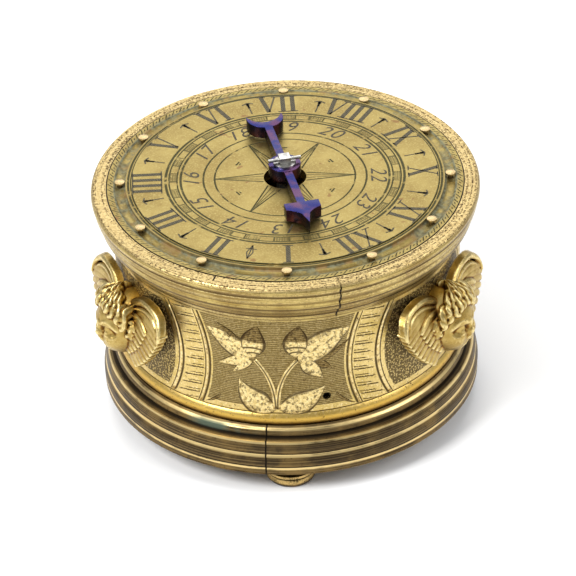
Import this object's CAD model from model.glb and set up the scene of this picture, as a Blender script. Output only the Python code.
from math import cos, pi, radians, sin

import bpy
import numpy as np
from mathutils import Matrix, Vector


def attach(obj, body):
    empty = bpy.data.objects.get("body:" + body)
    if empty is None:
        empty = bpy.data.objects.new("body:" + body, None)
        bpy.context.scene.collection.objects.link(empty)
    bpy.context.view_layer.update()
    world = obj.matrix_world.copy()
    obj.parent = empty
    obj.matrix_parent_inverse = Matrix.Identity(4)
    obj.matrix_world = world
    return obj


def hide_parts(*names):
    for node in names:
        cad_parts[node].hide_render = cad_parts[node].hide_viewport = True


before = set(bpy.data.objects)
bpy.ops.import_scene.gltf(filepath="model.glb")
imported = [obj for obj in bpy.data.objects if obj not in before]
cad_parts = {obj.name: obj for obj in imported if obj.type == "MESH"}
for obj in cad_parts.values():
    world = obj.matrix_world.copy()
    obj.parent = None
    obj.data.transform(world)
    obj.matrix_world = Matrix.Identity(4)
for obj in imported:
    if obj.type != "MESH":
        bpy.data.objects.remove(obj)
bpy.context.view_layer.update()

# Base moulding
# The turned ring that the drum stands on: old brass with a brown skin, bright only where hands and cloths
# rub its ridges. It was bent from a strip, so an upright joint crosses it near the front. Dirt and
# verdigris lie in its coves.

base_ridges = ((55.6, 9.2), (55.05, 13.4), (54.25, 17.4), (51.85, 20.5))
ridge_half_width = 0.62
base_grooves = ((18.3, 0.55), (9.75, 0.3), (14.0, 0.25))
upper_cove_height = 15.6
lower_cove_height = 11.4
verdigris_azimuth = -20.0
verdigris_height = 19.6
base_joint_azimuth = -8.6
base_joint_half_width = 0.34
base_inside_radius = 50.0


class Shade:
    """A value on its way through a material. Arithmetic on it adds Math nodes, node() any other kind."""

    def __init__(self, tree, socket=None):
        self.tree = tree
        self.socket = socket

    def node(self, kind, settings, sockets, output=0):
        """Add a node: its settings first, then the values or links of its sockets."""
        made = self.tree.nodes.new("ShaderNode" + kind)
        for name, value in settings.items():
            setattr(made, name, value)
        for name, value in sockets.items():
            if isinstance(value, Shade):
                self.tree.links.new(value.socket, made.inputs[name])
            else:
                made.inputs[name].default_value = value
        return Shade(self.tree, made.outputs[output] if made.outputs else None)

    def part(self, output):
        """Another output of the same node."""
        return Shade(self.tree, self.socket.node.outputs[output])

    def carried(self, name):
        """A number that the mesh carries at each point."""
        return self.node("Attribute", {"attribute_name": name}, {}, "Fac")

    def math(self, operation, *values):
        """One Math node, fed with values or links."""
        return self.node("Math", {"operation": operation}, dict(enumerate(values)))

    def __add__(self, other):
        return self.math("ADD", self, other)

    def __sub__(self, other):
        return self.math("SUBTRACT", self, other)

    def __rsub__(self, other):
        return self.math("SUBTRACT", other, self)

    def __mul__(self, other):
        return self.math("MULTIPLY", self, other)

    def __truediv__(self, other):
        return self.math("DIVIDE", self, other)

    def __mod__(self, other):
        return self.math("FLOORED_MODULO", self, other)

    def __pow__(self, other):
        return self.math("POWER", self, other)

    def __gt__(self, other):
        return self.math("GREATER_THAN", self, other)

    def __lt__(self, other):
        return self.math("LESS_THAN", self, other)

    def __neg__(self):
        return self * -1.0

    def __abs__(self):
        return self.math("ABSOLUTE", self)

    def __or__(self, other):
        """The larger of two masks."""
        return self.math("MAXIMUM", self, other)

    __radd__ = __add__
    __rmul__ = __mul__
    __ror__ = __or__

    def held(self):
        """The value kept between 0 and 1."""
        return self.node("Clamp", {}, {0: self})

    def noise(self, scale, detail=3.0, roughness=0.55):
        """Cloudy values about 0.5 at so many waves in a millimetre."""
        sockets = {"Vector": self, "Scale": scale, "Detail": detail, "Roughness": roughness}
        return self.node("TexNoise", {}, sockets)

    def mix(self, first, second):
        """A colour between two, by this mask."""
        return self.node("Mix", {"data_type": "RGBA"}, {0: self, 6: first, 7: second}, 2)


def start_finish(name):
    """A new material and the place on the piece in millimetres."""
    material = bpy.data.materials.new(name)
    material.use_nodes = True
    material.node_tree.nodes.clear()
    place = Shade(material.node_tree).node("TexCoord", {}, {}, "Object")
    return material, place.node("VectorMath", {"operation": "SCALE"}, {0: place, "Scale": 1000.0})


def close_finish(place, colour, roughness, height=None, depth=0.05, metallic=1.0):
    """The metal's shader, with the surface's height as a fine relief of so many millimetres."""
    sockets = {"Base Color": colour, "Roughness": roughness, "Metallic": metallic}
    if height is not None:
        sockets["Normal"] = place.node("Bump", {}, {"Height": height, "Distance": depth / 1000})
    place.node("OutputMaterial", {}, {"Surface": place.node("BsdfPrincipled", {}, sockets)})


def around(place):
    """Radius, azimuth in degrees from the front towards +X, and height."""
    x = place.node("SeparateXYZ", {}, {0: place})
    y = x.part(1)
    return (x * x + y * y) ** 0.5, x.math("ARCTAN2", x, -y) * (180 / pi), x.part(2)


def line(distance, half_width):
    """A soft-edged line where the distance is small."""
    return ((half_width - distance) * (2.0 / half_width)).held()


def over(value, low, high):
    """0 below low, 1 above high."""
    return ((value - low) * (1.0 / (high - low))).held()


def turning_marks(place, fine=3.0):
    """The fine rings that a lathe tool leaves, drawn out along the turn."""
    radius, azimuth, height = around(place)
    rings = place.node("CombineXYZ", {}, {0: azimuth * 0.02, 1: height * fine, 2: radius * fine})
    return rings.noise(1.0, 4.0, 0.6)


def dress(material, *names):
    """Give parts of the clock a finish."""
    for name in names:
        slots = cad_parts[name].data.materials
        slots.clear()
        slots.append(material)


def base_finish():
    material, place = start_finish("Base_Old_Brass")
    radius, azimuth, height = around(place)
    rings = turning_marks(place)
    clouds = place.noise(0.12, 5.0)
    spots = over(place.noise(0.9, 4.0), 0.58, 0.7)
    ridges = 0.0
    for ridge_radius, ridge_height in base_ridges:
        away = ((radius - ridge_radius) ** 2.0 + (height - ridge_height) ** 2.0) ** 0.5
        ridges = line(away, ridge_half_width) | ridges
    grooves = 0.0
    for groove_height, half_width in base_grooves:
        grooves = line(abs(height - groove_height), half_width) | grooves
    rub = ridges * over(clouds + rings, 0.7, 0.95)
    coves = over(abs(height - upper_cove_height), 1.6, 0.5) | over(abs(height - lower_cove_height), 1.7, 0.4)
    colour = over(rings, 0.4, 0.6).mix((0.05, 0.032, 0.014, 1), (0.21, 0.145, 0.062, 1))
    colour = (over(clouds, 0.46, 0.62) * 0.7).mix(colour, (0.24, 0.155, 0.055, 1))
    colour = (coves * over(rings + clouds * 0.5, 0.95, 0.65) * 0.8).mix(colour, (0.028, 0.02, 0.013, 1))
    colour = (spots * 0.6).mix(colour, (0.045, 0.028, 0.014, 1))
    colour = rub.mix(colour, (0.72, 0.54, 0.24, 1))
    colour = (grooves * 0.9).mix(colour, (0.014, 0.01, 0.007, 1))
    green = line(abs(azimuth - verdigris_azimuth + clouds * 6.0), 13.0) * over(clouds, 0.4, 0.6)
    green = green * line(abs(height - verdigris_height), 1.5)
    colour = (green * 0.8).mix(colour, (0.13, 0.19, 0.15, 1))
    wander = (place.noise(0.5) - 0.5) * 0.5
    joint = line(abs(azimuth - base_joint_azimuth + wander), base_joint_half_width)
    joint = joint * (radius > base_inside_radius)
    colour = joint.mix(colour, (0.012, 0.009, 0.006, 1))
    roughness = (0.33 + clouds * 0.3 - rub * 0.15 + grooves * 0.2 + green * 0.3).held()
    close_finish(place, colour, roughness, rings * 0.5 - joint - spots * 0.3, 0.06)
    return material


old_brass = base_finish()
dress(old_brass, "base_moulding", "base_plate", "base_hinge_leaf", "catch_plate", "foot_nuts")

# Feet
# Three small turned feet of the same old brass: a flared disc with a bright worn edge, a black groove and
# a pad below. Each has a spigot that goes through the base plate and is held by a nut.

foot_disc_height = 3.7
foot_groove_height = 2.95
foot_pad_height = 2.0


def foot_finish():
    material, place = start_finish("Foot_Brass")
    height = around(place)[2]
    clouds = place.noise(0.35, 4.0)
    fine = place.noise(2.5, 3.0)
    edge = line(abs(height - foot_disc_height), 0.75) | line(abs(height - foot_pad_height), 0.9)
    groove = line(abs(height - foot_groove_height), 0.5)
    colour = over(clouds, 0.4, 0.62).mix((0.045, 0.028, 0.012, 1), (0.2, 0.125, 0.045, 1))
    colour = (edge * over(fine + clouds, 0.75, 1.05)).mix(colour, (0.62, 0.43, 0.16, 1))
    colour = (groove * 0.8).mix(colour, (0.015, 0.01, 0.006, 1))
    close_finish(place, colour, 0.3 + clouds * 0.25, fine, 0.03)
    return material


dress(foot_finish(), "foot_front", "foot_back_right", "foot_back_left")

# Drum
# A rolled band of gilt brass, chased all round: three panels with a flowering plant on a hatched ground,
# ladder bands that bow in on either side of them, and a ground of punched dots behind each cherub's head.

drum_inside_radius = 50.0
degree_on_wall = 0.88
bead_top = 25.3
low_edge = 26.0
bead_foot = 23.4
panel_azimuth = -4.5
panel_middle = 40.5
panel_half_height = 15.4
panel_bottom = 27.4
ground_bottom = 27.2
ground_top = 56.0
inner_border = 23.2
inner_bow = 3.7
outer_border = 34.8
outer_bow = 5.0
rung_pitch = 2.9
hatch_pitch = 0.62
hole_azimuth = 11.2
hole_height = 30.3
hole_radius = 1.1


def drum_finish():
    material, place = start_finish("Drum_Chased_Gilt")
    radius, azimuth, height = around(place)
    outside = radius > drum_inside_radius
    clouds = place.noise(0.09, 5.0)
    grain = place.noise(1.6, 4.0)
    fine = place.noise(5.0, 2.0)
    tall = (height - panel_middle) / panel_half_height
    bow = tall * tall
    across = (azimuth - panel_azimuth + 60.0) % 120.0 - 60.0
    out = abs(across)
    inner = out - (inner_border + bow * inner_bow)
    outer = out - (outer_border + bow * outer_bow)
    above_bead = outside * over(height, bead_top, bead_top + 0.5)
    in_band = (inner > 0.0) * (outer < 0.0) * above_bead
    in_panel = (inner < -1.4) * above_bead * (height > panel_bottom)
    in_ground = (outer > 1.7) * above_bead * (height > ground_bottom) * (height < ground_top)
    # curved borders: a cut line, a bright ridge and a finer line
    borders = line(abs(inner + 0.35), 0.5) | line(abs(inner - 1.25), 0.24) | line(abs(outer + 1.75), 0.5)
    borders = (borders | line(abs(outer), 0.24)) * above_bead * over(place.noise(0.3, 4.0), 0.25, 0.36)
    borders = borders | line(abs(height - bead_top), 0.22) * outside
    # rungs: pairs of slanted strokes that fade out towards the ends
    slant = (height + out * 0.16 + (grain - 0.5) * 0.6) % rung_pitch
    rung = line(abs(slant - 1.0), 0.27) | line(abs(slant - 1.85), 0.19) * over(outer, -4.5, -5.5)
    rung = rung * (inner > 1.9) * over(outer, -2.6, -3.4) * in_band * over(place.noise(0.5, 4.0), 0.3, 0.42)
    # hatching of the panel's ground
    sway = (height + (place.noise(0.16, 2.0) - 0.5) * 1.1) % hatch_pitch
    hatch = line(abs(sway - 0.3), 0.2) * in_panel * over(fine, 0.3, 0.5)
    # punched dots
    dots = place.node("TexVoronoi", {}, {"Vector": place, "Scale": 1.7, "Randomness": 1.0})
    punched = over(dots, 0.3, 0.52) * in_ground
    pits = over(place.noise(1.3, 4.0, 0.7), 0.6, 0.66) * (1.0 - in_ground)
    gold = over(clouds, 0.35, 0.65).mix((0.5, 0.36, 0.105, 1), (0.66, 0.5, 0.2, 1))
    gold = over(grain, 0.52, 0.72).mix(gold, (0.78, 0.63, 0.33, 1))
    low = over(low_edge - height, 0.0, 2.4) * outside
    gold = (low * 0.85).mix(gold, (0.55, 0.34, 0.055, 1))
    gold = (over(bead_foot - height, 0.0, 1.4) * outside * 0.8).mix(gold, (0.16, 0.08, 0.015, 1))
    dark = (0.05, 0.03, 0.012, 1)
    sunk = over(grain, 0.35, 0.65).mix((0.17, 0.115, 0.04, 1), (0.36, 0.27, 0.11, 1))
    colour = (in_panel * 0.75).mix(gold, sunk)
    colour = (in_ground * 0.35).mix(colour, (0.4, 0.3, 0.12, 1))
    colour = (punched * 0.85).mix(colour, dark)
    colour = (hatch * 0.75).mix(colour, (0.07, 0.045, 0.014, 1))
    colour = ((borders | rung) * 0.92).mix(colour, dark)
    colour = (pits * 0.8).mix(colour, (0.1, 0.055, 0.02, 1))
    hole = (((azimuth - hole_azimuth) * degree_on_wall) ** 2.0 + (height - hole_height) ** 2.0) ** 0.5
    colour = over(hole, hole_radius + 0.25, hole_radius).mix(colour, (0.008, 0.006, 0.004, 1))
    inside = 1.0 - outside
    colour = (inside * 0.6).mix(colour, (0.3, 0.2, 0.07, 1))
    depth = 1.0 - ((borders | rung) + hatch * 0.5 + punched * 0.9 + pits * 0.5) * 0.8
    roughness = (0.28 + grain * 0.2 + in_panel * 0.1 + in_ground * 0.1 + borders * 0.2).held()
    close_finish(place, colour, roughness, depth + fine * 0.1, 0.12)
    return material


dress(drum_finish(), "drum_band")

# Flowers and borders of the drum
# In each panel two stems rise to a flower with a pointed bud, and two broad leaves lie at the foot. They
# stand a little proud where the ground was cut down round them, and so do the smooth edges of the ladder
# bands.

wall_radius = 50.4


def blend(values, share):
    """A value on the smooth curve that the listed values pull towards them."""
    while len(values) > 1:
        values = [first + (second - first) * share for first, second in zip(values, values[1:])]
    return values[0]


def clear_selection():
    """Nothing selected, so that the next operator acts on the new piece alone."""
    bpy.ops.object.select_all(action="DESELECT")


def bring_in(name, mesh):
    """Put a new piece into the scene, selected and active."""
    piece = bpy.data.objects.new(name, mesh)
    bpy.context.scene.collection.objects.link(piece)
    clear_selection()
    piece.select_set(True)
    bpy.context.view_layer.objects.active = piece
    return piece


class Form:
    """A mesh that grows from raised ridges, with marks that its material reads."""

    def __init__(self):
        self.points = []
        self.faces = []
        self.marks = []

    def ridge(self, course, widths, rise, lay, kind=0.0, sink=0.12, steps=16, sides=10):
        """Add a form, rounded above and flat beneath, along a course; widths are from its middle."""
        course = [Vector(point) for point in course]
        start = len(self.points)
        widest = max(blend(widths, step / steps) for step in range(steps + 1))
        for step in range(steps + 1):
            share = step / steps
            ahead = blend(course, min(share + 0.01, 1.0)) - blend(course, max(share - 0.01, 0.0))
            aside = Vector((-ahead.y, ahead.x)).normalized()
            half = blend(widths, share)
            for side in range(sides):
                turn = 2 * pi * side / sides
                point = blend(course, share) + aside * half * cos(turn)
                out = rise * (half / widest) ** 0.7 * sin(turn) if sin(turn) > 0.001 else -sink
                self.points.append(lay(point.x, point.y, out))
                self.marks.append((share, cos(turn), kind))
        for ring in range(start, start + steps * sides, sides):
            for side in range(sides):
                after = (side + 1) % sides
                self.faces.append((ring + side, ring + after, ring + sides + after, ring + sides + side))
        self.faces.append(tuple(range(start, start + sides)))
        self.faces.append(tuple(range(start + (steps + 1) * sides - 1, start + steps * sides - 1, -1)))

    def make(self, name):
        """Turn the form into a smooth closed piece."""
        mesh = bpy.data.meshes.new(name)
        mesh.from_pydata([[value / 1000 for value in point] for point in self.points], [], self.faces)
        for place, mark in enumerate(("along", "across", "kind")):
            values = [marks[place] for marks in self.marks]
            mesh.attributes.new(mark, "FLOAT", "POINT").data.foreach_set("value", values)
        piece = bring_in(name, mesh)
        bpy.ops.object.mode_set(mode="EDIT")
        bpy.ops.mesh.select_all(action="SELECT")
        bpy.ops.mesh.normals_make_consistent(inside=False)
        bpy.ops.object.mode_set(mode="OBJECT")
        bpy.ops.object.shade_smooth()
        return piece


def on_wall(middle):
    """Lay a flat design, in degrees and millimetres, on the wall about an azimuth."""
    def lay(arc, height, out):
        turn = radians(middle) + arc / wall_radius
        return (wall_radius + out) * sin(turn), -(wall_radius + out) * cos(turn), height
    return lay


def wall_line(*points):
    """Points given as degrees from the panel's middle and height."""
    return [(radians(turn) * wall_radius, height) for turn, height in points]


petals = (
    (((7.4, 43.0), (13.0, 49.3), (24.2, 52.8)), (1.4, 5.6, 6.8, 3.6, 0.05), 0.0),
    (((8.0, 43.0), (11.0, 41.0), (14.6, 36.8)), (1.2, 3.2, 3.6, 1.8, 0.05), 0.0),
    (((10.5, 42.3), (17.0, 43.0), (24.6, 49.6)), (0.2, 1.0, 1.4, 0.6, 0.05), 1.0),
    (((12.2, 42.8), (15.0, 41.6), (17.8, 39.6)), (0.3, 1.6, 2.0, 0.8, 0.05), 1.0),
    (((-8.7, 44.2), (-14.5, 48.4), (-23.8, 53.2)), (1.4, 4.2, 5.2, 2.6, 0.05), 0.0),
    (((-12.0, 48.5), (-15.5, 52.0), (-20.0, 55.0)), (0.4, 1.6, 1.8, 0.6, 0.05), 1.0),
    (((-9.0, 44.0), (-13.5, 42.8), (-19.6, 41.2)), (1.0, 2.4, 2.8, 1.4, 0.05), 0.0),
    (((-8.6, 43.4), (-11.5, 41.4), (-14.8, 38.8)), (0.8, 1.8, 2.0, 1.0, 0.05), 0.0),
    (((-0.9, 26.9), (-9.3, 27.6), (-12.8, 36.4)), (0.6, 5.6, 6.2, 3.0, 0.05), 0.0),
    (((-0.1, 27.1), (8.4, 27.8), (15.2, 33.9)), (0.6, 5.4, 6.0, 2.6, 0.05), 0.0),
    (((19.0, 31.2), (20.5, 27.8), (25.5, 26.0)), (0.05, 0.6, 0.8, 0.3, 0.05), 1.0),
    (((-19.5, 30.0), (-21.0, 27.6), (-25.0, 26.2)), (0.05, 0.6, 0.8, 0.3, 0.05), 1.0),
)
buds = (
    ((-7.8, 44.2), (-8.6, 49.5), (-6.2, 55.4)),
    ((6.2, 44.8), (5.6, 49.8), (7.3, 55.5)),
)
stems = (
    ((-1.0, 26.8), (-1.2, 37.5), (-7.3, 43.6)),
    ((-0.4, 26.8), (-0.6, 37.5), (6.4, 43.6)),
)


def relief_finish():
    """Bright gilding with dark edges; kind 0 is a leaf, 1 a dim leaf, 2 a bud with cups, 3 a stem."""
    material, place = start_finish("Flowers_Gilt")
    along = place.carried("along")
    across = abs(place.carried("across"))
    kind = place.carried("kind")
    grain = place.noise(1.5, 4.0)
    pits = over(place.noise(1.0, 4.0, 0.75), 0.53, 0.58)
    dim = line(abs(kind - 1.0), 0.6)
    stem = kind > 2.5
    bud = line(abs(kind - 2.0), 0.4)
    height = around(place)[2]
    hatch = line(abs(height % 0.6 - 0.3), 0.2)
    curve = across * across * 0.1
    cups = line(abs(along - 0.36 + curve), 0.035) | line(abs(along - 0.2 + curve), 0.03)
    gold = over(grain, 0.35, 0.65).mix((0.62, 0.46, 0.17, 1), (0.84, 0.68, 0.34, 1))
    worn = over(place.noise(0.42, 5.0, 0.75), 0.51, 0.57) * over(across, 0.2, 0.6)
    gold = (worn * 0.8).mix(gold, (0.36, 0.25, 0.09, 1))
    dull = over(grain, 0.35, 0.65).mix((0.17, 0.11, 0.035, 1), (0.34, 0.24, 0.09, 1))
    shadow = (dim | (bud * over(along, 0.5, 0.56))).held()
    colour = shadow.mix(gold, dull)
    colour = (shadow * hatch * 0.7).mix(colour, (0.05, 0.032, 0.012, 1))
    rim = line(abs(across - 0.88), 0.2) * (1.0 - stem) | line(across, 0.35) * stem
    dark = (rim | cups * bud | pits * 0.8 * (1.0 - stem)).held()
    colour = (dark * 0.85).mix(colour, (0.055, 0.033, 0.013, 1))
    close_finish(place, colour, 0.27 + grain * 0.2 + dark * 0.2, grain - dark, 0.08)
    return material


relief = relief_finish()
for panel in range(3):
    middle = panel_azimuth + panel * 120
    flowers = Form()
    for stem in stems:
        flowers.ridge(wall_line(*stem), (0.95, 0.75, 0.75, 0.7), 0.3, on_wall(middle), 3.0)
    for petal, widths, kind in petals:
        flowers.ridge(wall_line(*petal), widths, 0.34 - kind * 0.1, on_wall(middle), kind)
    for bud in buds:
        flowers.ridge(wall_line(*bud), (0.4, 5.0, 4.8, 3.6, 0.05), 0.5, on_wall(middle), 2.0)
    piece = flowers.make("panel_flowers_%d" % (panel + 1))
    piece.data.materials.append(relief)
    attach(piece, "case")


def border_finish():
    """Smooth gilding with brown left in small patches."""
    material, place = start_finish("Border_Gilt")
    grain = place.noise(1.3, 4.0)
    colour = over(grain, 0.35, 0.65).mix((0.6, 0.44, 0.16, 1), (0.8, 0.64, 0.33, 1))
    colour = (over(place.noise(0.8, 4.0), 0.56, 0.66) * 0.7).mix(colour, (0.16, 0.09, 0.03, 1))
    close_finish(place, colour, 0.24 + grain * 0.2, grain, 0.04)
    return material


border_foot = panel_middle - 14.6
border_head = panel_middle + 14.6
borders = Form()
for band in range(6):
    middle = panel_azimuth + band // 2 * 120
    side = 1 if band % 2 else -1
    for turn, bow, half in ((inner_border + 0.5, inner_bow, 0.34), (outer_border - 0.8, outer_bow, 0.6)):
        end = side * (turn + bow * 0.9)
        waist = side * (turn - bow * 0.9)
        edge = wall_line((end, border_foot), (waist, panel_middle), (end, border_head))
        borders.ridge(edge, (half, half, half), 0.22, on_wall(middle), steps=24, sides=8)
border_piece = borders.make("band_borders")
border_piece.data.materials.append(border_finish())
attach(border_piece, "case")

# Top moulding
# A turned ring of gilt brass round the upper drum, with a flat, pitted, pale top face, a roll, hollows
# and fillets. Cleaning has left brown in the grooves. It is cracked right through near the front and
# again across its top face.

moulding_grooves = ((69.0, 0.42), (63.9, 0.42), (59.7, 0.4), (56.0, 0.4), (58.2, 0.16), (57.3, 0.14))
top_face_height = 71.3
long_crack_azimuth = 15.0
short_crack_azimuth = -23.0
dial_seat_radius = 51.95


def moulding_finish():
    material, place = start_finish("Moulding_Gilt")
    radius, azimuth, height = around(place)
    rings = turning_marks(place)
    clouds = place.noise(0.1, 5.0)
    grain = place.noise(1.4, 5.0, 0.65)
    specks = over(place.noise(1.5, 5.0, 0.8) * 0.62 + rings * 0.38, 0.53, 0.57)
    blots = over(place.noise(0.55, 4.0, 0.7), 0.6, 0.68)
    face = over(height, top_face_height - 0.2, top_face_height + 0.2)
    grooves = 0.0
    for groove_height, half_width in moulding_grooves:
        grooves = line(abs(height - groove_height), half_width) | grooves
    gold = over(clouds, 0.38, 0.62).mix((0.29, 0.195, 0.053, 1), (0.5, 0.375, 0.123, 1))
    gold = over(rings, 0.5, 0.68).mix(gold, (0.72, 0.57, 0.254, 1))
    gold = (over(rings, 0.5, 0.36) * 0.65).mix(gold, (0.15, 0.095, 0.035, 1))
    pale = over(grain, 0.4, 0.6).mix((0.47, 0.34, 0.139, 1), (0.66, 0.51, 0.238, 1))
    colour = (face * 0.85).mix(gold, pale)
    colour = (grooves * 0.85).mix(colour, (0.07, 0.04, 0.015, 1))
    colour = (blots * (0.3 + face * 0.45)).mix(colour, (0.2, 0.11, 0.055, 1))
    colour = (specks * (0.45 + face * 0.4)).mix(colour, (0.09, 0.048, 0.022, 1))
    wander = (place.noise(0.45, 3.0) - 0.5) * 1.6
    crack = line(abs(azimuth - long_crack_azimuth + wander), 0.36)
    crack = crack * over(height, 57.0, 58.5) * over(72.2 - height, 0.0, 1.0)
    crack = crack | line(abs(azimuth - short_crack_azimuth + wander * 0.5), 0.3) * face * (radius < 54.3)
    colour = crack.mix(colour, (0.012, 0.008, 0.005, 1))
    joint = line(abs(radius - dial_seat_radius), 0.16) * (height > 71.0)
    colour = joint.mix(colour, (0.02, 0.014, 0.008, 1))
    roughness = (0.22 + rings * 0.16 + face * 0.14 + specks * 0.2).held()
    depth = rings * 0.35 - specks * (0.2 + face * 0.8) - blots * 0.3 - crack * 2.0
    close_finish(place, colour, roughness, depth, 0.1)
    return material


dress(moulding_finish(), "top_moulding")

# Dial
# A turned plate of brass, matt and olive with age: a raised middle, engraved with the circles of the
# hours, the quarters and a six-rayed star, a hollow for the touch pins full of verdigris, and a flat
# border with slanted cuts.

dial_turn = -0.46
chapter_height = 73.2
engraved_circles = ((45.55, 0.36), (44.75, 0.2), (34.65, 0.42), (33.65, 0.24), (31.35, 0.24), (30.3, 0.38),
                    (23.7, 0.3), (20.4, 0.27))
quarter_radius = 32.5
degree_on_quarters = 0.567
ray_tip = 20.6
ray_slope = 0.147
inner_ray_tip = 19.0
inner_ray_slope = 0.06
ray_root = 6.2
hollow_radius = 48.0
hollow_half_width = 3.1
border_radius = 50.75
degree_on_border = 0.886
border_pitch = 2.75
dial_edge_radius = 51.85


def dial_finish():
    material, place = start_finish("Dial_Engraved_Brass")
    radius, azimuth, height = around(place)
    clouds = place.noise(0.07, 5.0)
    grain = place.noise(1.8, 4.0)
    fine = place.noise(6.0, 2.0)
    turn = azimuth - dial_turn
    cuts = 0.0
    for circle, half_width in engraved_circles:
        cuts = line(abs(radius - circle), half_width) | cuts
    # quarters: blocks of seven and a half degrees, every second one hatched both ways
    in_ring = abs(radius - quarter_radius) < 1.1
    ends = line(abs((turn + 2.25) % 7.5 - 3.75) * degree_on_quarters, 0.26) * in_ring
    chequer = (abs((turn + 9.0) % 15.0 - 7.5) < 3.75) * in_ring
    weave = line(abs((turn % 1.3) - 0.65) * degree_on_quarters, 0.2) | line(abs(radius % 0.75 - 0.375), 0.2)
    cuts = (ends * 0.8 | (weave * chequer * 0.5)) | cuts
    # six-rayed star of double lines, with a short stroke between rays
    fold = (azimuth % 60.0 - 30.0) * (pi / 180)
    along = radius * fold.math("COSINE", fold)
    aside = radius * abs(fold.math("SINE", fold))
    ray = line(abs(aside - (ray_tip - along) * ray_slope), 0.26) * (along < ray_tip + 0.1)
    inner_ray = line(abs(aside - (inner_ray_tip - along) * inner_ray_slope), 0.18) * (along < inner_ray_tip)
    ray = (ray | inner_ray * 0.7) * (along > ray_root)
    other = ((azimuth + 30.0) % 60.0 - 30.0) * (pi / 180)
    reach = radius * other.math("COSINE", other)
    side = radius * abs(other.math("SINE", other))
    dash = line(abs(reach - 15.8), 0.3) * (side < 1.0) | line(abs(reach - 15.0), 0.22) * (side < 0.5)
    cuts = (ray | dash) | cuts
    # slanted cuts and dots on the border
    slide = (azimuth * degree_on_border + radius * 1.1 + (grain - 0.5) * 0.4) % border_pitch
    in_border = abs(radius - border_radius) < 0.75
    slash = line(abs(slide - 0.6), 0.28) * in_border
    dot = line(((slide - 2.0) ** 2.0 + (radius - 50.7) ** 2.0) ** 0.5, 0.34)
    cuts = (slash | dot) | cuts
    cuts = (cuts * over(place.noise(0.35, 4.0), 0.3, 0.42)).held()
    brass = over(clouds, 0.36, 0.64).mix((0.26, 0.185, 0.054, 1), (0.355, 0.27, 0.087, 1))
    brass = over(grain, 0.5, 0.72).mix(brass, (0.43, 0.345, 0.13, 1))
    brass = (over(place.noise(0.45, 5.0), 0.56, 0.7) * 0.45).mix(brass, (0.22, 0.14, 0.038, 1))
    rust = over(place.noise(0.2, 2.0), 0.69, 0.73) | over(place.noise(0.55, 2.0), 0.73, 0.76)
    brass = (rust * 0.55).mix(brass, (0.17, 0.06, 0.025, 1))
    green = over(place.noise(0.7, 4.0), 0.35, 0.6).mix((0.06, 0.06, 0.035, 1), (0.2, 0.2, 0.12, 1))
    orange = over(place.noise(0.13, 3.0), 0.56, 0.64)
    green = (orange * 0.6).mix(green, (0.3, 0.15, 0.029, 1))
    hollow = line(abs(radius - hollow_radius), hollow_half_width) * over(72.35 - height, 0.0, 0.3)
    lips = line(abs(radius - 46.5), 0.5) | line(abs(radius - 49.6), 0.42)
    patchy = over(place.noise(0.3, 4.0), 0.42, 0.62)
    hollow = (hollow * patchy * 0.8 | lips * over(height, 73.0, 72.8) * 0.9).held()
    colour = hollow.mix(brass, green)
    step = over(height, 72.1, 72.4) * over(73.1 - height, 0.0, 0.2)
    colour = (step * 0.35).mix(colour, (0.25, 0.17, 0.05, 1))
    rim = line(abs(radius - dial_edge_radius), 0.2)
    colour = (cuts * 0.9).mix(colour, (0.05, 0.055, 0.03, 1))
    colour = rim.mix(colour, (0.01, 0.008, 0.005, 1))
    roughness = (0.36 + grain * 0.16 + hollow * 0.3 + cuts * 0.2).held()
    metal = (1.0 - hollow * 0.7).held()
    close_finish(place, colour, roughness, 1.0 - cuts + fine * 0.12 - rust * 0.1, 0.1, metal)
    return material


dress(dial_finish(), "dial_plate")

# Hour numerals
# Roman numbers I to XII with their heads outwards, cut deep with a broad graver and filled with black
# wax. The broad strokes are ribbed across. A small T with a tapered stem marks each half hour but the
# first, which has a star.

hour_middle = 40.0
hour_tall = 8.4
letter_width = {"I": 2.9, "V": 5.9, "X": 5.9}
mark_height = chapter_height / 1000 + 0.00001
mark_thickness = 0.00004
half_hour_mark = (((0, 36.2), (0, 42.0), 0.42), ((0, 39.4), (0, 42.0), 0.75), ((0, 41.0), (0, 42.2), 1.1),
                  ((-1.7, 41.6), (0, 42.4), 0.45), ((1.7, 41.6), (0, 42.4), 0.45))
half_hour_star = (((0, 36.4), (0, 43.2), 0.35), ((-0.9, 40.0), (0, 43.2), 0.35),
                  ((0.9, 40.0), (0, 43.2), 0.35), ((-0.9, 40.0), (0, 36.4), 0.35),
                  ((0.9, 40.0), (0, 36.4), 0.35), ((-1.6, 38.2), (1.6, 38.2), 0.35))
# by how many degrees the engraver strayed from even spacing at each hour
strays = (0.7, 0.8, 0.9, 1.6, 0.8, 1.2, 2.5, 1.5, 0.6, 1.1, -0.2, 0.4)


def to_dial(hour_azimuth, right, outward):
    """Point on the dial, in metres, from a numeral's own right and outward millimetres."""
    turn = radians(hour_azimuth)
    x = outward * sin(turn) - right * cos(turn)
    y = -outward * cos(turn) - right * sin(turn)
    return x / 1000, y / 1000


def add_stroke(hour_azimuth, start, end, width):
    """A straight cut between two points of a numeral."""
    x0, y0 = to_dial(hour_azimuth, *start)
    x1, y1 = to_dial(hour_azimuth, *end)
    length = ((x1 - x0) ** 2 + (y1 - y0) ** 2) ** 0.5
    heading = Vector((1, 0)).angle_signed(Vector((x1 - x0, y1 - y0)))
    middle = ((x0 + x1) / 2, (y0 + y1) / 2, mark_height)
    bpy.ops.mesh.primitive_cube_add(size=1, location=middle, rotation=(0, 0, -heading),
                                    scale=(length, width / 1000, mark_thickness))


def add_one(azimuth, middle, low, high):
    """The broad upright of an I, with a thin line across each end."""
    add_stroke(azimuth, (middle, low), (middle, high), 1.35)
    for end in (low, high):
        add_stroke(azimuth, (middle - 1.5, end), (middle + 1.5, end), 0.4)


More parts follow.
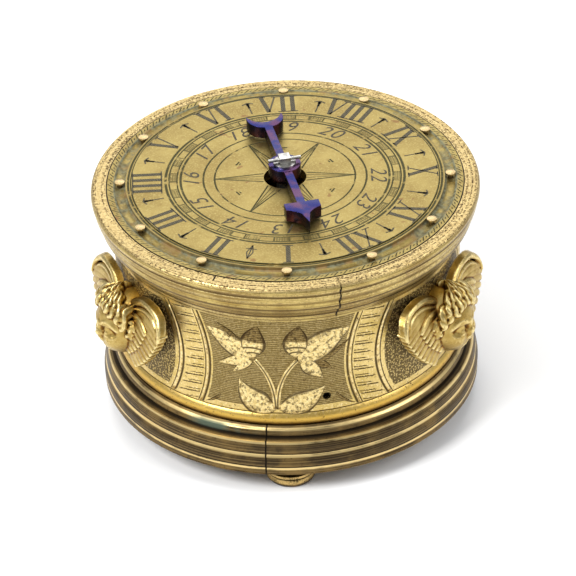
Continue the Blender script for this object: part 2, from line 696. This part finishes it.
def add_five(azimuth, left, low, high):
    """A V with a broad left stroke and a thin right one."""
    add_stroke(azimuth, (left + 0.9, high), (left + 3.1, low), 1.3)
    add_stroke(azimuth, (left + 5.0, high), (left + 3.2, low), 0.5)
    add_stroke(azimuth, (left - 0.4, high), (left + 2.2, high), 0.4)
    add_stroke(azimuth, (left + 4.0, high), (left + 6.0, high), 0.4)


def add_ten(azimuth, left, low, high):
    """An X with one broad and one thin stroke."""
    add_stroke(azimuth, (left + 0.8, high), (left + 4.5, low), 1.3)
    add_stroke(azimuth, (left + 4.5, high), (left + 0.8, low), 0.45)
    for end in (low, high):
        add_stroke(azimuth, (left - 0.3, end), (left + 2.0, end), 0.4)
        add_stroke(azimuth, (left + 3.4, end), (left + 5.6, end), 0.4)


def wax_finish(name, ribs):
    """Crumbling black wax, with the graver's ribs where they are asked for."""
    material, place = start_finish(name)
    x = place.node("SeparateXYZ", {}, {0: place})
    ridge = line(abs((x + x.part(1) * 0.6) % 0.7 - 0.35), 0.3) * ribs
    crumble = place.noise(2.2, 4.0)
    colour = over(crumble, 0.45, 0.68).mix((0.022, 0.018, 0.01, 1), (0.13, 0.1, 0.045, 1))
    colour = (ridge * 0.5).mix(colour, (0.1, 0.085, 0.04, 1))
    close_finish(place, colour, 0.5 + crumble * 0.3, crumble + ridge, 0.05, 0.15)
    return material


# the mesh starts as a crumb of wax in the first stroke
clear_selection()
bpy.ops.mesh.primitive_cube_add(size=0.0002, location=(0, -hour_middle / 1000, chapter_height / 1000))
numerals = bpy.context.object
numerals.name = "hour_numerals"
bpy.ops.object.transform_apply(location=True, rotation=True, scale=True)
bpy.ops.object.mode_set(mode="EDIT")
low = hour_middle - hour_tall / 2
high = hour_middle + hour_tall / 2
for hour, letters in enumerate(("I", "II", "III", "IIII", "V", "VI", "VII", "VIII", "IX", "X", "XI", "XII")):
    hour_azimuth = dial_turn - hour * 30 + strays[hour]
    spot = -sum(letter_width[letter] for letter in letters) / 2
    for letter in letters:
        if letter == "I":
            add_one(hour_azimuth, spot + letter_width["I"] / 2, low, high)
        elif letter == "V":
            add_five(hour_azimuth, spot, low, high)
        else:
            add_ten(hour_azimuth, spot, low, high)
        spot += letter_width[letter]
for half in range(12):
    for start, end, width in half_hour_mark if half else half_hour_star:
        add_stroke(dial_turn - 15 - half * 30, start, end, width)
bpy.ops.object.mode_set(mode="OBJECT")
numerals.data.materials.append(wax_finish("Numeral_Black_Wax", 1.0))
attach(numerals, "case")

# Second hours
# The hours 13 to 24 inside the quarter ring, in thin sloping figures with their heads outwards. They were
# scratched with a point and filled with the same wax.

figure_radius = 24.9
figure_shape = {"size": 0.0068, "shear": 0.3, "offset": -0.00002, "space_character": 1.15,
                "align_x": "CENTER", "extrude": 0.00002}
figures = []
for number in range(13, 25):
    azimuth = dial_turn - (number - 13) * 30
    x, y = to_dial(azimuth, 0, figure_radius)
    clear_selection()
    bpy.ops.object.text_add(location=(x, y, mark_height), rotation=(0, 0, radians(azimuth + 180)))
    figure = bpy.context.object
    figure.data.body = str(number)
    for setting, value in figure_shape.items():
        setattr(figure.data, setting, value)
    bpy.ops.object.convert(target="MESH")
    figures.append(bpy.context.object)
clear_selection()
for figure in figures:
    figure.select_set(True)
bpy.context.view_layer.objects.active = figures[0]
bpy.ops.object.join()
second_hours = bpy.context.object
second_hours.name = "second_hour_numerals"
bpy.ops.object.transform_apply(location=True, rotation=True, scale=True)
second_hours.data.materials.clear()
second_hours.data.materials.append(wax_finish("Scratched_Figures", 0.0))
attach(second_hours, "case")

# Touch pins
# Twelve turned brass pins with flat heads, riveted through the hollow so that the hour can be felt in the
# dark. Their tops are rubbed pale, and dirt lies round their necks.

pin_neck_height = 73.0


def pin_finish():
    material, place = start_finish("Touch_Pin_Brass")
    height = around(place)[2]
    fine = place.noise(3.0, 3.0)
    dirt = over(pin_neck_height - height, 0.0, 0.5)
    colour = over(fine, 0.4, 0.65).mix((0.5, 0.36, 0.16, 1), (0.68, 0.53, 0.29, 1))
    colour = (dirt * 0.9).mix(colour, (0.07, 0.05, 0.025, 1))
    close_finish(place, colour, 0.3 + fine * 0.12 + dirt * 0.2, fine, 0.02)
    return material


dress(pin_finish(), "touch_pins")

# Hand
# One thick hand filed from steel and blued, violet along its arms: an arrow head, a round hub and a
# crescent tail. A bright washer lies on the hub, and a taper pin through the square end of the arbor
# holds them down.

hand_top = 77.5
worn_edge = 0.00042


def blued_finish():
    material, place = start_finish("Hand_Blued_Steel")
    height = around(place)[2]
    clouds = place.noise(0.22, 3.0)
    fine = place.noise(3.5, 3.0)
    top = over(height, hand_top, hand_top + 0.3)
    colour = over(clouds, 0.4, 0.6).mix((0.012, 0.012, 0.045, 1), (0.05, 0.018, 0.035, 1))
    tops = over(clouds, 0.45, 0.6).mix((0.022, 0.026, 0.14, 1), (0.1, 0.045, 0.11, 1))
    colour = (top * 0.75).mix(colour, tops)
    colour = (over(fine, 0.58, 0.7) * 0.5).mix(colour, (0.014, 0.01, 0.014, 1))
    close_finish(place, colour, 0.2 + fine * 0.14, fine, 0.02)
    return material


def steel_finish(name, light, dark, rough):
    """Steel or iron between a light and a dark colour, with brown specks of rust."""
    material, place = start_finish(name)
    clouds = place.noise(0.5, 4.0)
    fine = place.noise(4.0, 3.0)
    colour = over(clouds, 0.38, 0.62).mix(dark, light)
    colour = (over(fine, 0.6, 0.72) * 0.6).mix(colour, (0.12, 0.08, 0.055, 1))
    close_finish(place, colour, rough + fine * 0.15, fine, 0.03)
    return material


hand = bring_in("hand_filed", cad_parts["hour_hand"].data.copy())
bpy.ops.object.mode_set(mode="EDIT")
bpy.ops.mesh.select_all(action="SELECT")
bpy.ops.mesh.remove_doubles(threshold=0.000005)
bpy.ops.mesh.dissolve_limited(angle_limit=radians(3))
bpy.ops.object.mode_set(mode="OBJECT")
bevel = hand.modifiers.new("worn_edges", "BEVEL")
bevel.width = worn_edge
bevel.segments = 3
bevel.angle_limit = radians(35)
bpy.ops.object.modifier_apply(modifier=bevel.name)
bpy.ops.object.shade_smooth_by_angle(angle=radians(40))
hand.data.materials.clear()
hand.data.materials.append(blued_finish())
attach(hand, "hand")
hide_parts("hour_hand")
bright_steel = steel_finish("Washer_Bright_Steel", (0.6, 0.59, 0.56, 1), (0.3, 0.29, 0.27, 1), 0.22)
dress(bright_steel, "hand_washer", "cross_pin", "hour_arbor")

# Cherub heads
# Three winged child's heads, each cast in one piece of brass, chased and gilt, and screwed on from
# inside. The wings lean out from their top edge, stand off the round wall at their tips and are rounded
# at the ends. Orange-brown gilding is left in the hollows.

head_centre = Vector((0.0, -54.3, 42.0))
head_half_width = 7.2
head_half_height = 9.3
head_growth = Vector((1.09, 1.03, 1.09))
hair_centre = Vector((0.0, -53.2, 43.6))
hair_radius = 8.0
ball_centre = hair_centre + Vector((0, 1.0, 0.3))
modelling_depth = 0.72
remesh_size = 0.00023
both = (1, -1)


def add_ball(segments, rings, centre, half_width, half_height):
    """A ball that may be drawn out upwards."""
    clear_selection()
    bpy.ops.mesh.primitive_uv_sphere_add(segments=segments, ring_count=rings, radius=0.001,
                                         location=centre / 1000, scale=(half_width, half_width, half_height))
    bpy.ops.object.transform_apply(location=True, rotation=True, scale=True)
    return bpy.context.object


skull = add_ball(192, 128, head_centre, head_half_width, head_half_height)
skull.name = "cherub_cast"


def push(points, path, radius, amount, sides=(1,)):
    """Raise or press the face along a path of x and z, as a modelling tool would."""
    for side in sides:
        moved = np.zeros(len(points))
        for step in range(13):
            x, z = blend([Vector(point) for point in path], step / 12)
            away = ((points[:, 0] - side * x) ** 2 + (points[:, 2] - z) ** 2) / radius ** 2
            dab = np.where(points[:, 1] < head_centre.y, np.clip(1 - away, 0, 1) ** 2, 0)
            moved = np.maximum(moved, dab)
        points[:, 1] -= modelling_depth * amount * moved


points = np.empty(len(skull.data.vertices) * 3)
skull.data.vertices.foreach_get("co", points)
points = points.reshape(-1, 3) * 1000
# cheeks, forehead and chin
push(points, ((3.4, 37.6), (3.9, 38.6)), 3.4, 1.3, both)
push(points, ((0, 45.6), (0, 46.4)), 5.0, 0.5)
push(points, ((0, 33.9), (0, 34.1)), 2.0, 1.2)
# sockets, eyes, their lids and brows
push(points, ((1.7, 42.0), (2.9, 42.4), (4.2, 41.8)), 1.7, -1.25, both)
push(points, ((2.6, 41.75), (3.0, 41.75)), 1.35, 1.15, both)
push(points, ((1.3, 41.6), (2.8, 44.0), (4.4, 41.4)), 0.5, 0.42, both)
push(points, ((1.4, 41.3), (2.8, 39.9), (4.2, 41.2)), 0.42, 0.25, both)
push(points, ((1.1, 43.7), (3.0, 46.2), (5.3, 43.0)), 0.95, 0.4, both)
# bridge, tip and wings of the nose, and nostrils
push(points, ((0, 44.0), (0, 40.6)), 1.1, 0.75)
push(points, ((0, 40.8), (0, 39.1)), 1.45, 1.25)
push(points, ((0.95, 38.85), (1.05, 38.75)), 0.8, 0.6, both)
push(points, ((0.55, 38.2), (0.6, 38.1)), 0.35, -0.5, both)
# lips, the line between them and the dip below
push(points, ((-1.7, 36.7), (0, 37.7), (1.7, 36.7)), 0.6, 0.55)
push(points, ((-1.3, 35.8), (0, 35.2), (1.3, 35.8)), 0.65, 0.6)
push(points, ((-2.0, 36.35), (0, 36.2), (2.0, 36.35)), 0.38, -0.6)
push(points, ((0, 35.0), (0, 34.9)), 0.8, -0.25)
skull.data.vertices.foreach_set("co", (points / 1000).ravel())


def on_hair(arc, rise, out):
    """Lay a strand on the hair's ball: arcs round from the face and up."""
    turn = arc / hair_radius
    lift = rise / hair_radius
    reach = hair_radius + out
    flat = reach * cos(lift)
    return hair_centre + Vector((flat * sin(turn), -flat * cos(turn), reach * 1.04 * sin(lift)))


# rows of locks from the brow to the crown: how many, how high above the ball's middle and how far out
lock_rows = ((14, 4.3, 0.2), (13, 6.6, 0.5), (11, 8.8, 0.7), (8, 10.8, 0.8))
hair = Form()
for row, (count, low, out) in enumerate(lock_rows):
    for strand in range(count):
        share = strand / (count - 1) * 2 - 1
        lean = share * (11.6 - row * 1.7)
        foot = low - share ** 2 * (8.5 - row * 1.3)
        wave = (2.6, -2.2, 1.7)[(strand + row) % 3]
        rise = 3.2 + 0.7 * (strand % 2)
        lock = ((lean - wave * 0.5, foot), (lean + wave, foot + rise * 0.3),
                (lean * 1.1 - wave * 1.3, foot + rise * 0.7), (lean * 1.15 + wave, foot + rise))
        thick = 1.0 + 0.25 * (strand % 3) + out
        hair.ridge(lock, (0.6, 1.35, 1.2, 1.3, 0.5), thick, on_hair, sink=1.0, steps=14)
for side in both:
    for row in range(4):
        height = 0.6 - row * 2.3
        curl = ((side * 11.6, height + 1.2), (side * 9.2, height + 0.4), (side * 10.2, height - 1.5),
                (side * 13.0, height - 0.7))
        hair.ridge(curl, (0.6, 1.2, 1.1, 0.5), 1.5, on_hair, sink=1.0, steps=12)
hair_piece = hair.make("cherub_hair")

hair_ball = add_ball(64, 48, ball_centre, hair_radius * 0.97, hair_radius)

wing_front = 51.7
wing_swell = 3.4
swell_top = 52.5
swell_reach = 5.0
wing_curve = 0.0018
wing_root = Vector((3.0, 42.0))
wing_tip = Vector((21.8, 47.2))
wing_corner = Vector((9.6, 31.4))
# layers of feathers: share of the full length, how many and how far above the wing
feather_layers = ((1.0, 10, 0.0), (0.66, 7, 0.75), (0.4, 5, 1.4))
# ridges along the top edge: how far below it, how wide and how thick
edge_ridges = ((0.0, 1.1, 1.5), (1.9, 0.7, 1.1), (3.3, 0.6, 0.9))


def on_wing(side, lift=0.0):
    """Lay feathers on a wing that leans out from its top edge and swells towards its foot."""
    def lay(across, height, out):
        swell = wing_swell * (1 - 0.5 ** (max(swell_top - height, 0.0) / swell_reach))
        return side * across, -(wing_front + swell + (out + lift) - wing_curve * across * across), height
    return lay


wings = Form()
for side in both:
    for size, count, lift in feather_layers:
        for feather in range(count):
            share = feather / (count - 1)
            start = Vector((3.2, 47.6 - 11.0 * share))
            end = wing_tip.lerp(wing_corner, share) - wing_root
            end = wing_root + end * size * (1 + 0.13 * sin(pi * share))
            start = wing_root + (start - wing_root) * (0.5 + size / 2)
            rise = 5.0 * (1 - share) * size
            bend = Vector((start.x + (end.x - start.x) * 0.55, max(start.y, end.y) + rise))
            wide = (1.35 + 0.35 * share) * (0.55 + size * 0.45)
            widths = (0.7 * wide, 1.0 * wide, 1.2 * wide, 1.5 * wide, 0.7 * wide)
            wings.ridge((start, bend, end), widths, 0.95, on_wing(side, lift), sink=2.0 + lift, steps=14)
    for low, wide, rise in edge_ridges:
        edge = ((3.0, 48.6 - low), (11.5, 57.0 - low * 1.3), (22.0 - low, 53.6 - low * 1.1),
                (21.3 - low * 0.9, 46.2))
        widths = (wide, wide * 1.2, wide * 1.1, 0.6 * wide)
        wings.ridge(edge, widths, rise, on_wing(side), sink=1.3, steps=18)
wing_piece = wings.make("cherub_wings")

for part in (skull, hair_piece, hair_ball):
    for vertex in part.data.vertices:
        vertex.co = (head_centre + (vertex.co * 1000 - head_centre) * head_growth) / 1000
clear_selection()
for part in (skull, hair_piece, hair_ball, wing_piece):
    part.select_set(True)
bpy.context.view_layer.objects.active = skull
bpy.ops.object.join()
skull.data.remesh_voxel_size = remesh_size
bpy.ops.object.voxel_remesh()
bpy.ops.object.mode_set(mode="EDIT")
bpy.ops.mesh.select_all(action="SELECT")
bpy.ops.mesh.vertices_smooth(factor=0.5, repeat=2)
bpy.ops.object.mode_set(mode="OBJECT")
bpy.ops.object.shade_smooth()


def mark_hollows(piece, rounds, depth):
    """Store how far each point lies in a hollow, from 0 on ridges to 1 in the deepest places."""
    mesh = piece.data
    count = len(mesh.vertices)
    places = np.empty(count * 3)
    mesh.vertices.foreach_get("co", places)
    places = places.reshape(-1, 3) * 1000
    normals = np.empty(count * 3)
    mesh.vertex_normals.foreach_get("vector", normals)
    edges = np.empty(len(mesh.edges) * 2, dtype=np.int64)
    mesh.edges.foreach_get("vertices", edges)
    first, second = edges.reshape(-1, 2).T
    near = np.bincount(first, minlength=count) + np.bincount(second, minlength=count)
    smooth = places.copy()
    for _ in range(rounds):
        total = np.empty_like(smooth)
        for axis in range(3):
            total[:, axis] = (np.bincount(first, smooth[second, axis], count)
                              + np.bincount(second, smooth[first, axis], count)) / near
        smooth = total
    hollow = np.sum((smooth - places) * normals.reshape(-1, 3), axis=1)
    marks = mesh.attributes.new("hollow", "FLOAT", "POINT").data
    marks.foreach_set("value", np.clip(0.5 + hollow / depth, 0, 1))


mark_hollows(skull, 12, 0.9)


def cast_finish():
    """Gilding, rubbed bright on the ridges, orange-brown and then black in the hollows."""
    material, place = start_finish("Cast_Gilt_Brass")
    hollow = place.carried("hollow")
    clouds = place.noise(0.25, 5.0)
    grain = place.noise(1.8, 5.0, 0.65)
    colour = over(clouds, 0.35, 0.65).mix((0.32, 0.205, 0.048, 1), (0.48, 0.35, 0.115, 1))
    colour = over(hollow + (grain - 0.5) * 0.2, 0.46, 0.36).mix(colour, (0.72, 0.58, 0.262, 1))
    colour = (over(hollow, 0.54, 0.62) * over(clouds, 0.3, 0.5)).mix(colour, (0.2, 0.09, 0.015, 1))
    colour = over(hollow + (grain - 0.5) * 0.2, 0.6, 0.78).mix(colour, (0.025, 0.014, 0.006, 1))
    colour = (over(grain, 0.6, 0.68) * 0.6).mix(colour, (0.14, 0.07, 0.025, 1))
    close_finish(place, colour, 0.25 + grain * 0.2, grain, 0.06)
    return material


cast_gilt = cast_finish()
skull.data.materials.clear()
skull.data.materials.append(cast_gilt)
for name, azimuth in (("cherub_front_right", 57.0), ("cherub_back", 177.0), ("cherub_front_left", -63.0)):
    cast = bring_in(name + "_cast", skull.data.copy())
    cast.rotation_euler.z = radians(azimuth)
    bpy.ops.object.transform_apply(location=False, rotation=True, scale=False)
    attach(cast, "case")
    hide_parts(name)
bpy.data.objects.remove(skull)

# Hinge, latch and screws
# The drum swings back on a brass hinge let into the base. Its pin, the rivets, the screws and the latch
# are iron and steel, dark from oil.

dress(old_brass, "case_hinge_leaf")
iron = steel_finish("Oiled_Iron", (0.3, 0.28, 0.26, 1), (0.16, 0.14, 0.13, 1), 0.34)
dress(iron, "hinge_pin", "hinge_rivets", "cherub_screws", "latch_bracket", "latch_pin", "latch_strip",
      "cock_screw", "click_screw", "pillar_pins", "dial_post_pins")

# Movement
# Plates, pillars and wheels of hammered yellow brass with fine file marks, arbors and pinions of bright
# steel, and a mainspring of blue-grey steel.


def movement_finish():
    material, place = start_finish("Movement_Brass")
    drawn_out = place.node("VectorMath", {"operation": "MULTIPLY"}, {0: place, 1: (0.3, 4.0, 1.0)})
    marks = drawn_out.noise(1.0, 4.0)
    clouds = place.noise(0.12, 4.0)
    colour = over(marks, 0.4, 0.62).mix((0.42, 0.29, 0.1, 1), (0.64, 0.49, 0.21, 1))
    colour = (over(clouds, 0.52, 0.66) * 0.5).mix(colour, (0.34, 0.2, 0.06, 1))
    close_finish(place, colour, 0.28 + clouds * 0.16, marks, 0.03)
    return material


dress(movement_finish(), "top_plate", "bottom_plate", "pillars", "dial_posts", "inner_potence",
      "outer_potence", "balance_cock", "great_wheel", "second_wheel", "contrate_wheel", "crown_wheel",
      "hour_wheel")
arbor_steel = steel_finish("Arbor_Steel", (0.66, 0.65, 0.63, 1), (0.42, 0.4, 0.38, 1), 0.24)
dress(arbor_steel, "winding_arbor", "ratchet_wheel", "click", "second_arbor", "contrate_arbor", "crown_arbor",
      "verge", "balance", "spring_post")
spring_steel = steel_finish("Spring_Steel", (0.3, 0.34, 0.42, 1), (0.16, 0.18, 0.24, 1), 0.3)
dress(spring_steel, "mainspring")

# Floor, light and camera
# The clock stands on plain white paper in a pale room, with four soft boxes round it. The camera is far
# off with a long lens, as high as the photograph's, and rolled a little as it was.

room_light = (0.9, 0.92, 0.95, 1)
elevation = radians(34.46)
roll = radians(-1.96)
looked_at = Vector((-0.00024, 0, 0.03412))
camera_distance = 1.1813

clear_selection()
bpy.ops.mesh.primitive_plane_add(size=4.0)
floor = bpy.context.object
floor.name = "floor"
floor_material, floor_place = start_finish("Floor_Paper")
close_finish(floor_place, (0.93, 0.93, 0.93, 1), 0.9, None, 0.0, 0.0)
floor.data.materials.append(floor_material)


def add_light(name, place, size, power):
    """A soft box that faces the clock."""
    clear_selection()
    bpy.ops.object.light_add(type="AREA", location=place)
    light = bpy.context.object
    light.name = name
    light.data.size = size
    light.data.energy = power
    light.rotation_euler = (Vector((0, 0, 0.04)) - Vector(place)).to_track_quat("-Z", "Y").to_euler()


add_light("soft_box_left", (-0.55, -0.45, 0.75), 0.4, 9.0)
add_light("soft_box_right", (0.7, -0.25, 0.55), 0.5, 3.0)
add_light("soft_box_back", (0.0, 0.9, 0.75), 0.9, 5.0)
add_light("soft_box_top", (0.0, 0.0, 1.2), 0.6, 4.0)

world = bpy.data.worlds.new("Studio")
bpy.context.scene.world = world
world.use_nodes = True
background = world.node_tree.nodes["Background"]
background.inputs["Color"].default_value = room_light
background.inputs["Strength"].default_value = 0.5

back = Vector((0, -cos(elevation), sin(elevation)))
up = Vector((0, sin(elevation), cos(elevation)))
right = Vector((1, 0, 0))
camera_x = right * cos(roll) + up * sin(roll)
camera_y = up * cos(roll) - right * sin(roll)
camera_data = bpy.data.cameras.new("Camera")
camera_data.lens = 250.0
camera_data.sensor_width = 36.0
camera_data.clip_end = 20.0
camera = bpy.data.objects.new("Camera", camera_data)
bpy.context.scene.collection.objects.link(camera)
stand = Matrix((camera_x, camera_y, back)).transposed().to_4x4()
stand.translation = looked_at + back * camera_distance
camera.matrix_world = stand
bpy.context.scene.camera = camera
bpy.context.scene.view_settings.view_transform = "Standard"
